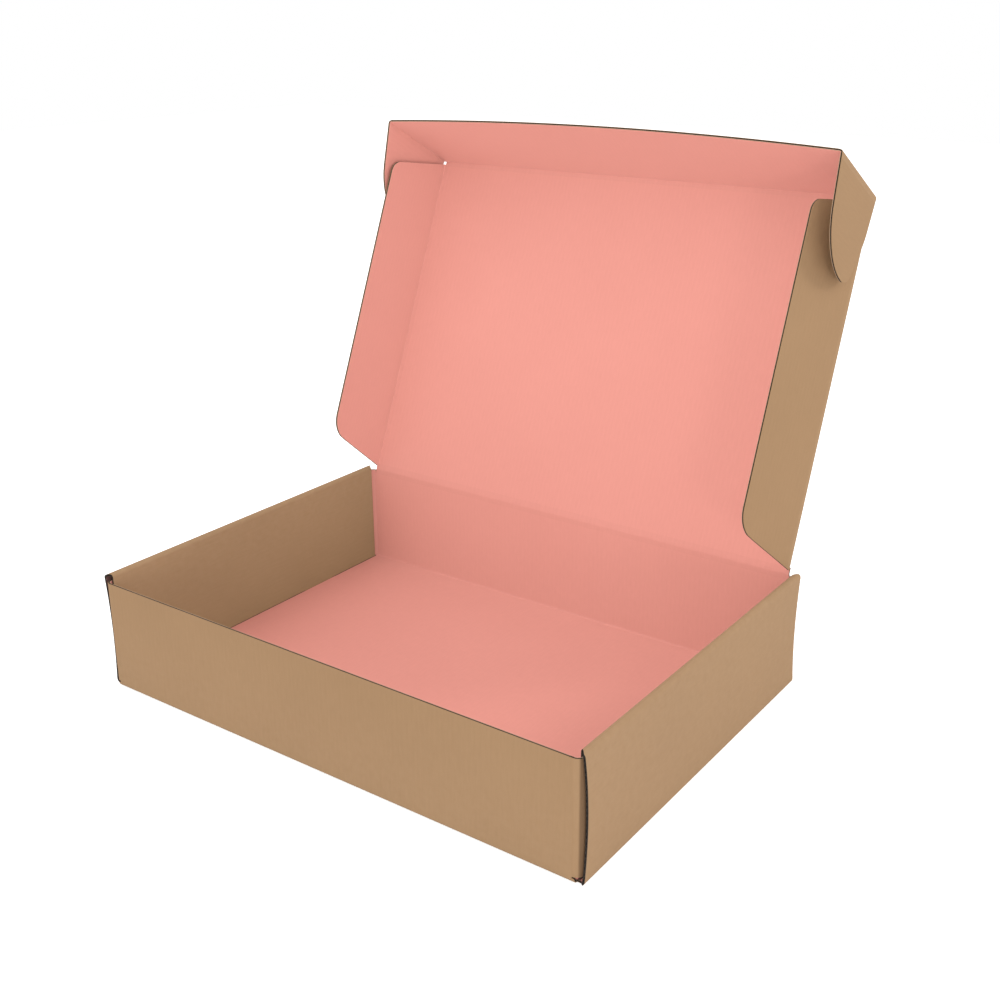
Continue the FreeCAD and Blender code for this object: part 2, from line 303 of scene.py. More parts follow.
def makePaperGroup():
    # Paper: long fibres along the flutes over soft clouds, and faint bands where flutes show through.
    group = bpy.data.node_groups.new("paperFibre", "ShaderNodeTree")
    sockets = (("Fibre Scale", "NodeSocketFloat", "INPUT"), ("Cloud Scale", "NodeSocketFloat", "INPUT"),
               ("Light", "NodeSocketColor", "INPUT"), ("Dark", "NodeSocketColor", "INPUT"),
               ("Flute Pitch", "NodeSocketFloat", "INPUT"), ("Flute Mark", "NodeSocketFloat", "INPUT"),
               ("Rough Low", "NodeSocketFloat", "INPUT"), ("Rough High", "NodeSocketFloat", "INPUT"),
               ("Color", "NodeSocketColor", "OUTPUT"), ("Roughness", "NodeSocketFloat", "OUTPUT"),
               ("Height", "NodeSocketFloat", "OUTPUT"))
    for name, kind, way in sockets:
        group.interface.new_socket(name=name, in_out=way, socket_type=kind)
    link = group.links.new
    given = addNode(group, "NodeGroupInput", (-1100, 0))
    out = addNode(group, "NodeGroupOutput", (700, 0))
    sheetUv = addNode(group, "ShaderNodeUVMap", (-1100, -300))
    sheetUv.uv_map = "sheet"
    stretched = addNode(group, "ShaderNodeMapping", (-900, -300), Scale=(1, 0.12, 1))
    link(sheetUv.outputs["UV"], stretched.inputs["Vector"])
    fibre = addNode(group, "ShaderNodeTexNoise", (-650, 100), Detail=6, Roughness=0.65)
    cloud = addNode(group, "ShaderNodeTexNoise", (-650, -150), Detail=3, Roughness=0.5)
    link(stretched.outputs["Vector"], fibre.inputs["Vector"])
    link(sheetUv.outputs["UV"], cloud.inputs["Vector"])
    link(given.outputs["Fibre Scale"], fibre.inputs["Scale"])
    link(given.outputs["Cloud Scale"], cloud.inputs["Scale"])
    across = addNode(group, "ShaderNodeSeparateXYZ", (-650, -400))
    link(sheetUv.outputs["UV"], across.inputs["Vector"])
    turns = addNode(group, "ShaderNodeMath", (-450, -400))
    turns.operation = "DIVIDE"
    link(across.outputs["X"], turns.inputs[0])
    link(given.outputs["Flute Pitch"], turns.inputs[1])
    radians = addNode(group, "ShaderNodeMath", (-300, -400))
    radians.operation = "MULTIPLY"
    radians.inputs[1].default_value = 2 * math.pi
    link(turns.outputs[0], radians.inputs[0])
    wave = addNode(group, "ShaderNodeMath", (-150, -400))
    wave.operation = "SINE"
    link(radians.outputs[0], wave.inputs[0])
    mark = addNode(group, "ShaderNodeMath", (0, -400))
    mark.operation = "MULTIPLY"
    link(wave.outputs[0], mark.inputs[0])
    link(given.outputs["Flute Mark"], mark.inputs[1])
    soft = addNode(group, "ShaderNodeMath", (-400, 0))
    soft.operation = "ADD"
    link(fibre.outputs["Fac"], soft.inputs[0])
    link(cloud.outputs["Fac"], soft.inputs[1])
    mixed = addNode(group, "ShaderNodeMath", (-200, 0))
    mixed.operation = "ADD"
    link(soft.outputs[0], mixed.inputs[0])
    link(mark.outputs[0], mixed.inputs[1])
    share = addNode(group, "ShaderNodeMapRange", (0, 0))
    share.inputs["From Min"].default_value = 0.7
    share.inputs["From Max"].default_value = 1.3
    link(mixed.outputs[0], share.inputs["Value"])
    colour = addNode(group, "ShaderNodeMix", (250, 100))
    colour.data_type = "RGBA"
    link(share.outputs["Result"], colour.inputs["Factor"])
    link(given.outputs["Dark"], colour.inputs[6])
    link(given.outputs["Light"], colour.inputs[7])
    rough = addNode(group, "ShaderNodeMix", (250, -150))
    link(share.outputs["Result"], rough.inputs["Factor"])
    link(given.outputs["Rough Low"], rough.inputs[2])
    link(given.outputs["Rough High"], rough.inputs[3])
    link(colour.outputs[2], out.inputs["Color"])
    link(rough.outputs[0], out.inputs["Roughness"])
    link(mixed.outputs[0], out.inputs["Height"])
    return group


def makeFoldGroup():
    # Colour along folds, partly worn fibre and partly painted light: where the sheet is bent the paper's
    # colour moves towards a fold colour, lighter on the kraft (worn fibre and a painted highlight along the
    # roll) and darker on the print (painted crease shade), and it is multiplied by a darker tone where
    # painted shade is marked.
    group = bpy.data.node_groups.new("foldWearAndPaintedLight", "ShaderNodeTree")
    for name, kind, way in (("Color", "NodeSocketColor", "INPUT"), ("Fold Colour", "NodeSocketColor", "INPUT"),
                            ("Painted Shade", "NodeSocketColor", "INPUT"), ("Amount", "NodeSocketFloat", "INPUT"),
                            ("Color", "NodeSocketColor", "OUTPUT")):
        group.interface.new_socket(name=name, in_out=way, socket_type=kind)
    link = group.links.new
    given = addNode(group, "NodeGroupInput", (-700, 0))
    out = addNode(group, "NodeGroupOutput", (400, 0))
    fold = addNode(group, "ShaderNodeAttribute", (-700, -200))
    fold.attribute_name = "fold"
    sheetUv = addNode(group, "ShaderNodeUVMap", (-900, -400))
    sheetUv.uv_map = "sheet"
    patches = addNode(group, "ShaderNodeTexNoise", (-700, -400), Scale=260, Detail=4)
    link(sheetUv.outputs["UV"], patches.inputs["Vector"])
    foldMarked = addNode(group, "ShaderNodeMath", (-450, -250))
    foldMarked.operation = "MULTIPLY"
    link(fold.outputs["Fac"], foldMarked.inputs[0])
    link(patches.outputs["Fac"], foldMarked.inputs[1])
    share = addNode(group, "ShaderNodeMath", (-250, -250))
    share.operation = "MULTIPLY"
    link(foldMarked.outputs[0], share.inputs[0])
    link(given.outputs["Amount"], share.inputs[1])
    mixed = addNode(group, "ShaderNodeMix", (0, 0))
    mixed.data_type = "RGBA"
    link(share.outputs[0], mixed.inputs["Factor"])
    link(given.outputs["Color"], mixed.inputs[6])
    link(given.outputs["Fold Colour"], mixed.inputs[7])
    # Painted shade: where this attribute is 1 the colour is multiplied by a darker tone.
    shadeMark = addNode(group, "ShaderNodeAttribute", (-250, -450))
    shadeMark.attribute_name = "paintedShade"
    darker = addNode(group, "ShaderNodeMix", (200, 0))
    darker.data_type = "RGBA"
    darker.blend_type = "MULTIPLY"
    link(shadeMark.outputs["Fac"], darker.inputs["Factor"])
    link(mixed.outputs[2], darker.inputs[6])
    link(given.outputs["Painted Shade"], darker.inputs[7])
    link(darker.outputs[2], out.inputs["Color"])
    return group


paperGroup, foldGroup = makePaperGroup(), makeFoldGroup()


def paperMaterial(name, look, foldColour, foldAmount, bumpHeight, paintedShade=(0.52, 0.50, 0.49, 1)):
    material = bpy.data.materials.new(name)
    material.use_nodes = True
    tree = material.node_tree
    shader = tree.nodes["Principled BSDF"]
    paper = addNode(tree, "ShaderNodeGroup", (-700, 0))
    paper.node_tree = paperGroup
    for socket, value in (("Fibre Scale", look["fibreScale"]), ("Cloud Scale", look.get("cloudScale", 30.0)),
                          ("Light", look["light"]), ("Dark", look["dark"]),
                          ("Flute Pitch", board["flutePitch"] * mm),
                          ("Flute Mark", look.get("fluteMark", 0.0)),
                          ("Rough Low", look["roughness"][0]), ("Rough High", look["roughness"][1])):
        paper.inputs[socket].default_value = value
    folds = addNode(tree, "ShaderNodeGroup", (-400, 100))
    folds.node_tree = foldGroup
    folds.inputs["Fold Colour"].default_value = foldColour
    folds.inputs["Amount"].default_value = foldAmount
    folds.inputs["Painted Shade"].default_value = paintedShade
    bump = addNode(tree, "ShaderNodeBump", (-400, -200), Strength=0.25, Distance=bumpHeight)
    tree.links.new(paper.outputs["Color"], folds.inputs["Color"])
    # Light that has bounced off the paper carries less of its colour, as in the photograph.
    # Painted light: bounced rays see the paler bounce colour instead of the paper's own, which lightens the
    # shade in corners and between parts.
    rays = addNode(tree, "ShaderNodeLightPath", (-400, 500))
    seen = addNode(tree, "ShaderNodeMix", (-150, 200))
    seen.data_type = "RGBA"
    seen.inputs[7].default_value = look["bounce"]
    tree.links.new(rays.outputs["Is Diffuse Ray"], seen.inputs["Factor"])
    tree.links.new(folds.outputs["Color"], seen.inputs[6])
    tree.links.new(seen.outputs[2], shader.inputs["Base Color"])
    tree.links.new(paper.outputs["Roughness"], shader.inputs["Roughness"])
    tree.links.new(paper.outputs["Height"], bump.inputs["Height"])
    tree.links.new(bump.outputs["Normal"], shader.inputs["Normal"])
    shader.inputs["Specular IOR Level"].default_value = 0.18
    return material


# Fold colours: lighter on the kraft, worn fibre and a painted highlight along the roll; darker on the print,
# painted crease shade. The print's last argument is the tone its painted shade is multiplied by.
materials["kraft"] = paperMaterial("kraftLiner", kraftLook, (0.58, 0.40, 0.26, 1), 0.35, 0.0002)
materials["print"] = paperMaterial("salmonPrint", printLook, (0.70, 0.275, 0.225, 1), 0.45, 0.0001,
                                   (0.16, 0.20, 0.22, 1))
# This material is painted shade.
materials["cut"] = paperMaterial("flutedCoreShade", coreShadeLook, (0.3, 0.2, 0.12, 1), 0.0, 0.0002)
materials["rim"] = paperMaterial("cutLiner", rimLook, (0.5, 0.35, 0.25, 1), 0.0, 0.0002)
print("materials made")


tray = {
    "halfWidth": 144.99,       # the floor and its bends, out to the locking slots
    "wallHalfWidth": 143.65,   # front and back walls, out to their corner bends
    "wallStart": (2.4, 2.6),   # heights between which the one narrows to the other
    "backHalf": 146.6,         # the bend under the back wall, past the side walls' ends
    "backStart": (102.6, 102.9),
    # Painted shade: the strip's print at the front corners, from shadedFrom outwards and in front of
    # shadedDepth, is darkened as shade.
    "shadedFrom": (143.0, 143.6),   # print that lies behind the front corners
    "shadedDepth": 102.5,      # and no further back than this from the middle of the box
    "wallMiddle": 104.3,       # front and back walls, from the middle of the box to mid-board
    "floorMiddle": 0.6,
    "frontHeight": 60.0,
    "backHeight": 58.8,
    "bendRadius": 1.8,
}
trayLine = bentLine((-tray["wallMiddle"], tray["frontHeight"], 0),
                    (-tray["wallMiddle"], tray["floorMiddle"], tray["bendRadius"]),
                    (tray["wallMiddle"], tray["floorMiddle"], tray["bendRadius"]),
                    (tray["wallMiddle"], tray["backHeight"], 0))


def trayPlace(a, b, n):
    # The strip's width shrinks by a straight ramp from the floor's to the walls'.
    y, z = along(trayLine, b, n)
    depth, height = along(trayLine, b, 0)
    wide = np.interp(depth, tray["backStart"], (tray["halfWidth"], tray["backHalf"]))
    share = np.interp(height, tray["wallStart"], (0, 1))
    return a / tray["halfWidth"] * (wide + share * (tray["wallHalfWidth"] - wide)), y, z


length = trayLine["run"][-1]
rampRuns = [end for z in tray["wallStart"]
            for end in (tray["frontHeight"] - z, length - tray["backHeight"] + z)]
runShares = spaced(np.concatenate([trayLine["run"], rampRuns]), 20) / length
half = tray["halfWidth"]
foldAlong = np.interp(runShares * length, trayLine["run"], trayLine["fold"])[:, None]
shadeEdges = np.outer((-1, 1), tray["shadedFrom"]).ravel()
across = spaced(np.concatenate([np.linspace(-half, half, 25), shadeEdges]), 13)
inFront = trayLine["place"][:, 0] < -tray["shadedDepth"]
frontPart = np.interp(runShares * length, trayLine["run"], inFront)[:, None]
# Painted shade on the print at the front corners.
shaded = frontPart * np.interp(np.abs(across), tray["shadedFrom"], (0, 1))
skins = boardOf(trayPlace, across, 0, length, runShares, fold=foldAlong, paintedShade=(0, shaded))
skins += coreOf(trayPlace, -half, half, 0, board["coreDepth"] * 2, "low")
frontFloorBack = makePiece("front_floor_back", skins, "tray")
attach(frontFloorBack, "tray")

# Rolled double side walls: the floor's edge, up outside, over the roll and down inside.
sideWall = {
    "floorStart": 146.43,
    "outerMiddle": 148.9,
    "innerMiddle": 145.71,
    "rollBase": 61.605,
    "rollRadius": 1.595,
    "innerBottom": 1.45,
    "floorEnd": 102.5,
    "outerEnds": {1: (104.1, 101.7, 104.5), -1: (102.9, 102.0, 103.3)},   # right and left outer
                               # panels' ends at the bottom, middle and top
    "slant": (146.31, 148.3, 101.2),      # the roll's end slants in plan from x to x, and its first y
    "tabHalf": 12.0,
    "tabBottom": 0.2,
    "tabMiddles": (-48.0, 48.0),
    "slotHalf": 12.12,
    "sheetAt": 300,            # where the strip starts across the sheet's pattern
}
topZ = sideWall["rollBase"] + sideWall["rollRadius"]
rollBend = sideWall["rollRadius"] - 0.001    # a hair less, so that the roll's two arcs stay apart
sideLine = bentLine((sideWall["floorStart"], tray["floorMiddle"], 0),
                    (sideWall["outerMiddle"], tray["floorMiddle"], tray["bendRadius"]),
                    (sideWall["outerMiddle"], topZ, rollBend),
                    (sideWall["innerMiddle"], topZ, rollBend),
                    (sideWall["innerMiddle"], sideWall["innerBottom"], 0))
sideOrigin = (sideWall["sheetAt"], 0)


def sidePlace(side):
    def place(a, b, n):
        x, z = along(sideLine, a, n)
        return side * x, b, z
    return place


def sideEnd(side, a):
    # How far the strip runs along Y: a shallow arc up the outer panel, slanting in over the
    # roll to the inner panel's end.
    x, z = along(sideLine, a, 0)
    bottom, middle, top = sideWall["outerEnds"][side]
    startX, endX, startY = sideWall["slant"]
    height = np.clip(z / sideWall["rollBase"], 0, 1)
    slope, curl = 4 * middle - 3 * bottom - top, 2 * (bottom + top - 2 * middle)
    curved = bottom + slope * height + curl * height ** 2
    slanted = np.interp(x, (startX, endX), (startY, top))
    return np.where(a < sideLine["run"][1] + 1e-6, sideWall["floorEnd"], np.minimum(curved, slanted))


columns = spaced(sideLine["run"], 4.5)   # from the floor up, over the roll and down inside
foldAcross = np.interp(columns, sideLine["run"], sideLine["fold"])
for side, name in ((1, "right_side_wall"), (-1, "left_side_wall")):
    place = sidePlace(side)
    ends = sideEnd(side, columns)
    # Painted shade: the print inside the double wall is darkened from the floor's bend on, and both liners'
    # cut edges take the near-black shade colour.
    skins = boardOf(place, columns, -ends, ends, np.linspace(0, 1, 13), origin=sideOrigin, fold=foldAcross,
                    paintedShade=(0, np.interp(columns, sideLine["run"][1:3], (0, 1))), rims=(shadeFace, shadeFace))
    skins += coreOf(place, sideLine["run"][1], columns[-1], lambda a: -sideEnd(side, a),
                    lambda a: sideEnd(side, a), "both", origin=sideOrigin)

    def webPlace(a, b, n):
        return side * a, b, tray["floorMiddle"] + n
    edges = [-sideWall["floorEnd"]]
    for middle in sideWall["tabMiddles"]:
        edges += [middle - sideWall["slotHalf"], middle + sideWall["slotHalf"]]
    edges.append(sideWall["floorEnd"])
    for low, high in zip(edges[::2], edges[1::2]):
        # Painted shade: the webs' print is darkened all over.
        skins += boardOf(webPlace, np.array([half, sideWall["floorStart"]]), low, high, paintedShade=(0, 1))

    def tabPlace(a, b, n):
        return side * (sideWall["innerMiddle"] + n), b, a
    for middle in sideWall["tabMiddles"]:
        skins += boardOf(tabPlace, np.array([sideWall["tabBottom"], sideWall["innerBottom"]]),
                         middle - sideWall["tabHalf"], middle + sideWall["tabHalf"])
    piece = makePiece(name, skins)
    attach(piece, "tray")

# Dust flaps: the ends of the front and back walls, folded round the corners into the side walls.
dust = {
    "middle": 147.05,
    "cornerRadius": 3.39,
    "bottom": 1.8,
    "slitBottom": {"front": (3.4, 3.4), "back": (2.7, 1.3)},   # over the floor's bend and past its end
    "top": {"front": 60.0, "back": 61.0},
    "taper": 7.0,
    "farEnd": 16.9,
    "farRound": 9.0,
    "slit": 2.4,
    "shadeRun": (2.2, 3.0),    # where round the corner painted shade on the kraft begins and becomes full
    "step": 0.15,              # run over which the slit's edge changes height
    "coreInset": 0.5,
    "sheetAt": 500,
}
dustOrigin = (dust["sheetAt"], 0)
wallY = tray["wallMiddle"]
dustLine = bentLine((tray["wallHalfWidth"], -wallY, 0), (dust["middle"], -wallY, dust["cornerRadius"]),
                    (dust["middle"], -dust["farEnd"], 0))
bendEnd = dustLine["run"][board["turnSteps"] + 1]
farRun = dustLine["run"][-1]
for end, endName in ((1, "front"), (-1, "back")):
    top, (overBend, pastBend) = dust["top"][endName], dust["slitBottom"][endName]
    floorEnd = tray["halfWidth"] - tray["wallHalfWidth"]
    stepRuns = (floorEnd, floorEnd + dust["step"])
    dustOutline = rounded((0, overBend, 0), (stepRuns[0], overBend, 0), (stepRuns[1], pastBend, 0),
                          (bendEnd, pastBend, 0), (bendEnd + dust["slit"], dust["bottom"], 0),
                          (farRun, dust["bottom"], dust["farRound"]),
                          (farRun, top - dust["taper"], dust["farRound"]), (bendEnd, top, 0), (0, top, 0))
    for side, sideName in ((1, "right"), (-1, "left")):
        def dustPlace(a, b, n):
            x, y = along(dustLine, a, n)
            return side * x, end * y, b
        farColumns = farRun - dust["farRound"] * (1 - np.cos(np.linspace(0, math.pi / 2, 9)))
        columns = spaced(np.concatenate([dustLine["run"], dust["shadeRun"], stepRuns, farColumns]), 8)
        low, high = spans(dustOutline, columns)
        # Painted shade: the kraft round the corner is darkened as the shade beside the side wall.
        skins = boardOf(dustPlace, columns, low, high, np.linspace(0, 1, 4), origin=dustOrigin,
                        fold=np.interp(columns, dustLine["run"], dustLine["fold"]),
                        paintedShade=(np.interp(columns, dust["shadeRun"], (0, 1)), 0))
        skins += coreOf(dustPlace, 0, farRun - dust["coreInset"], *edgesOf(dustOutline), "both",
                        origin=dustOrigin)
        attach(makePiece(endName + "_" + sideName + "_dust_flap", skins), "tray")
print("tray made")


lid = {
    "hinge": (104.3, 62.0),
    "openAngle": 112.5,
    "depth": 202.8,
    "hingeHalf": 143.0,
    "hingeStart": 3.2,         # how far below the hinge line the back wall's neck begins
    "tuckCreaseHalf": 141.6,
    "hingeRadius": 3.0,
    "hingeStep": 0.6,          # gap between rows over the bend
}
reach = board["creaseReach"]
lean = math.radians(lid["openAngle"] - 90)
hingeAt = np.array([0, *lid["hinge"]])
lidAlong = np.array([0, math.sin(lean), math.cos(lean)])
lidInward = np.array([0, -math.cos(lean), math.sin(lean)])
acrossX = np.array([1.0, 0, 0])


def inFrame(origin, first, second, third, u, v, w):
    # Origin plus u, v and w along three directions.
    return tuple(origin[k] + u * first[k] + v * second[k] + w * third[k] for k in range(3))


def lidFrame(x, b, inward):
    return inFrame(hingeAt, acrossX, lidAlong, lidInward, x, b, inward)


flap = {
    "right": {"angle": 103.5, "side": 1},
    "left": {"angle": 91.5, "side": -1},
    "pivotX": 142.01,
    "pivotDepth": 0.85,
    "width": 50.8,
    "hingeGap": 2.0,
    "slantEnd": 18.6,
    "hingeRound": 15.0,
    "frontEnd": 200.4,
    "frontFreeEnd": 187.0,
    "frontRound": 8.0,
    "creaseRadius": 1.3,
    "coreInset": 0.3,
    "sheetAt": 141,
}
for sideName in ("right", "left"):
    # Where the flap's mid-plane meets the lid's, and how far that is above the pivot's level.
    own = flap[sideName]
    inFold = math.radians(own["angle"] - 90)
    drop = -(flap["pivotDepth"] + board["thickness"] / 2 * math.sin(inFold)) / math.cos(inFold)
    own["down"] = np.array([-math.sin(inFold), math.cos(inFold)])
    own["cornerX"] = flap["pivotX"] + board["thickness"] / 2 * math.cos(inFold) + drop * own["down"][0]
    own["drop"] = drop

tuck = {
    "angle": 83.7,
    "height": 59.8,
    "half": 144.11,
    "arch": 0.4,
    "bow": 4.0,                # how far the middle of the free edge bulges out of the flap's plane
    "bowPower": 1.6,
    "creaseRadius": 1.0,
}
tuckStart = tuck["half"] - reach
tuckAngle = math.radians(tuck["angle"])
tuckDown = math.cos(tuckAngle) * lidAlong + math.sin(tuckAngle) * lidInward
tuckInward = math.cos(tuckAngle) * lidInward - math.sin(tuckAngle) * lidAlong
tuckCorner = hingeAt + lid["depth"] * lidAlong


def tuckBow(x, h):
    # Bulge = bow * (1 - (x / half)^2) * (h / height)^bowPower, none at the ends and at the crease.
    sideways = np.clip(1 - (x / tuck["half"]) ** 2, 0, 1)
    return tuck["bow"] * sideways * np.clip(h / tuck["height"], 0, 2) ** tuck["bowPower"]


def tuckFrame(x, h, inward):
    return inFrame(tuckCorner, acrossX, tuckDown, tuckInward, x, h, inward - tuckBow(x, h))


def creased(line):
    # Scoring thins the board along a crease: share left = 1 - crush * exp(-((s - middle) / width)^2).
    middle = line["run"][-1] / 2
    return lambda s: 1 - board["creaseCrush"] * np.exp(-((s - middle) / board["creaseWidth"]) ** 2)


def makeCrease(name, place, a, low, high, shares, crush, origin):
    # A bent strip that turns between two bodies, from one side of its corner to the other.
    skins = boardOf(place, a, low, high, shares, origin=origin, fold=board["creaseFold"], crush=crush)
    piece = makePiece(name, skins)
    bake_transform(piece)
    return piece


lidOrigin = length + lid["hingeStart"]
panelEdges = (-(flap["left"]["cornerX"] - reach), flap["right"]["cornerX"] - reach)
skins = boardOf(lidFrame, np.linspace(*panelEdges, 25), reach, lid["depth"] - reach,
                np.linspace(0, 1, 15), origin=(0, lidOrigin))
lidPanel = makePiece("lid_board", skins, "lid_panel")
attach(lidPanel, "lid")

# The crease along the back wall's top.
hingeLine = bentLine((lid["hinge"][0], lid["hinge"][1] - lid["hingeStart"], 0),
                     (*lid["hinge"], lid["hingeRadius"]),
                     tuple(hingeAt[1:] + reach * lidAlong[1:]) + (0,))
hingeRows = spaced(hingeLine["run"], lid["hingeStep"])
crush = creased(hingeLine)


def hingePlace(a, b, n):
    # As wide as the back wall at its start, and a little narrower from the crease on.
    wide = np.interp(b, (0, lid["hingeStart"]), (tray["wallHalfWidth"] / lid["hingeHalf"], 1))
    return a * wide, *along(hingeLine, b, n)


makeCrease("lid_crease", hingePlace, np.linspace(-lid["hingeHalf"], lid["hingeHalf"], 49),
           0, hingeRows[-1], hingeRows / hingeRows[-1], lambda a, b: crush(b), (0, length))

# The crease along the lid's front, and the tuck flap beyond it.
tuckLine = bentLine((0, 0, 0), (reach, 0, tuck["creaseRadius"]),
                    (reach * (1 + math.cos(tuckAngle)), reach * math.sin(tuckAngle), 0))
tuckRows = spaced(tuckLine["run"], board["creaseStep"])


def tuckCreasePlace(a, b, n):
    forward, inward = along(tuckLine, b, n)
    narrow = np.where(b > tuckLine["run"][-1] / 2 + 0.5, tuckStart / lid["tuckCreaseHalf"], 1)
    x = a * narrow
    bow = tuckBow(x, np.clip(b - tuckLine["run"][-1] / 2, 0, None))
    spot = lidFrame(x, lid["depth"] - reach + forward, inward)
    return tuple(spot[k] - bow * tuckInward[k] for k in range(3))


crushTuck = creased(tuckLine)
makeCrease("tuck_crease", tuckCreasePlace, np.linspace(-lid["tuckCreaseHalf"], lid["tuckCreaseHalf"], 49),
           0, tuckRows[-1], tuckRows / tuckRows[-1], lambda a, b: crushTuck(b),
           (0, lidOrigin + lid["depth"] - reach))

tuckOrigin = (0, lidOrigin + lid["depth"])


def tuckEnd(x):
    return tuck["height"] + tuck["arch"] * (1 - (x / tuck["half"]) ** 2)


fine = np.linspace(-tuckStart, tuckStart, 385)
skins = boardOf(tuckFrame, fine, reach, tuckEnd(fine), np.linspace(0, 1, 10), origin=tuckOrigin)
skins += coreOf(tuckFrame, -tuckStart, tuckStart, reach, tuckEnd, "high", origin=tuckOrigin)
tuckPanel = makePiece("tuck_board", skins, "tuck_flap")
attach(tuckPanel, "tuck")
print("lid and tuck flap made")


for sideName in ("right", "left"):
    own = flap[sideName]
    side, down, cornerX = own["side"], own["down"], own["cornerX"]
    # From the distance past the corner to the depth below the lid.
    shift = flap["pivotDepth"] + own["drop"]
    flapOutline = rounded((flap["pivotDepth"] - shift, flap["hingeGap"], 0),
                          (flap["width"] - shift, flap["slantEnd"], flap["hingeRound"]),
                          (flap["width"] - shift, flap["frontFreeEnd"], flap["frontRound"]),
                          (flap["pivotDepth"] - shift, flap["frontEnd"], 0))
    flapEnd = flap["width"] - shift

    def flapPlace(a, b, n):
        # a is the distance past the corner; left of the flap's direction is the printed side.
        return lidFrame(side * (cornerX + a * down[0] - n * down[1]), b, a * down[1] + n * down[0])

    rounding = flapEnd - flap["frontRound"] * (1 - np.cos(np.linspace(0, math.pi / 2, 19)))
    columns = spaced(np.concatenate([[reach, flapEnd], rounding[rounding > reach]]), 6)
    low, high = spans(flapOutline, columns)
    origin = (flap["sheetAt"] + reach, lidOrigin)
    skins = boardOf(flapPlace, columns, low, high, np.linspace(0, 1, 16), origin=origin)
    skins += coreOf(flapPlace, reach, flapEnd - flap["coreInset"], *edgesOf(flapOutline), "both",
                    origin=origin)
    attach(makePiece(sideName + "_flap_board", skins, sideName + "_side_flap"), sideName + "_flap")

    flapLine = bentLine((cornerX - reach, 0, 0), (cornerX, 0, flap["creaseRadius"]),
                        (cornerX + reach * down[0], reach * down[1], 0))

    def flapCreasePlace(a, b, n):
        x, inward = along(flapLine, a, n)
        return lidFrame(side * x, b, inward)

    columns = spaced(flapLine["run"], board["creaseStep"])
    x, depth = along(flapLine, columns, 0)
    middle = columns[-1] / 2
    past = (columns > middle) & (depth > flap["pivotDepth"])
    beyond = np.clip(depth / down[1], flap["pivotDepth"] - shift, None)
    flapLow, flapHigh = spans(flapOutline, beyond)
    low = np.where(x < lid["hingeHalf"], reach, flap["hingeGap"])
    low = np.where(past, flapLow, np.where(columns > middle, flap["hingeGap"], low))
    onLid = (x < lid["tuckCreaseHalf"]) & (columns < middle)
    high = np.where(past, flapHigh, np.where(onLid, lid["depth"] - reach, flap["frontEnd"]))
    crushFlap = creased(flapLine)
    # The flap is named first: with the lid first, the left strip has no near turning point
    # when every joint is at its upper limit, and tears.
    makeCrease(sideName + "_flap_crease", flapCreasePlace, columns, low, high, np.linspace(0, 1, 25),
               lambda a, b: crushFlap(a), (flap["sheetAt"] - reach, lidOrigin))
print("side flaps made")


ear = {
    "start": 0.85,             # distance in from the crease at which the ear's own outline begins
    "inset": 0.4,
    "shoulder": (24.0, 0.8, 30.0),   # reach from the crease, distance down the tuck flap and rounding
    "tip": (53.5, 9.0, 12.0),
    "lobe": (50.5, 45.5, 38.0),
    "tipCurve": 9.0,           # the end of the ear over which its columns crowd together
    "coreInset": 0.6,
    "sheetAt": 143,
    "creaseRadius": 0.8,
}
earBottom = tuck["height"] - ear["inset"]
earOutline = rounded((ear["start"], ear["inset"], 0), ear["shoulder"], ear["tip"], ear["lobe"],
                     (ear["start"], earBottom, 0))
earTip = earOutline[:, 0].max()
earLine = bentLine((tuckStart, 0, 0), (tuck["half"], 0, ear["creaseRadius"]), (tuck["half"], reach, 0))
for sideName, side in (("right", 1), ("left", -1)):
    def earPlace(a, b, n):
        return tuckFrame(side * (tuck["half"] - n), b, a)

    tipColumns = earTip - ear["tipCurve"] * (1 - np.cos(np.linspace(0, math.pi / 2, 15)))
    columns = spaced(np.concatenate([[reach, earTip - 1e-4], tipColumns[1:]]), 2.0)
    low, high = spans(earOutline, columns)
    origin = (ear["sheetAt"] + reach, tuckOrigin[1])
    skins = boardOf(earPlace, columns, low, high, np.linspace(0, 1, 8), origin=origin)
    skins += coreOf(earPlace, reach, earTip - ear["coreInset"], *edgesOf(earOutline), "both", origin=origin)
    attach(makePiece(sideName + "_ear_board", skins, sideName + "_ear"), sideName + "_ear")

    def earCreasePlace(a, b, n):
        x, inward = along(earLine, a, n)
        return tuckFrame(side * x, b, inward)

    columns = spaced(earLine["run"], board["creaseStep"])
    x, depth = along(earLine, columns, 0)
    onEar = depth > ear["start"]
    shape = spans(earOutline, np.clip(depth, ear["start"], None))
    low = np.where(onEar, shape[0], ear["inset"])
    high = np.where(onEar, shape[1], np.where(x < tuck["half"] - 1.0, tuckEnd(x), earBottom))
    crushEar = creased(earLine)
    makeCrease(sideName + "_ear_crease", earCreasePlace, columns, low, high, np.linspace(0, 1, 10),
               lambda a, b: crushEar(a), (ear["sheetAt"] - reach, tuckOrigin[1]))
print("ears made")


studio = {
    "floorSize": 6.0,
    "floorColour": (0.93, 0.93, 0.93, 1),
    "worldStrength": 0.91,
    "lamps": {
        "topLamp": {"power": 6.0, "place": (-0.5, -0.7, 1.8), "size": 1.6},
        "frontLamp": {"power": 2.4, "place": (0.3, -1.4, 0.5), "size": 0.6},
        "lowLamp": {"power": 1.8, "place": (1.15, -0.85, 0.16), "size": 0.3},
        "sideLamp": {"power": 3.1, "place": (1.0, 0.75, 0.75), "size": 0.3},
    },
}


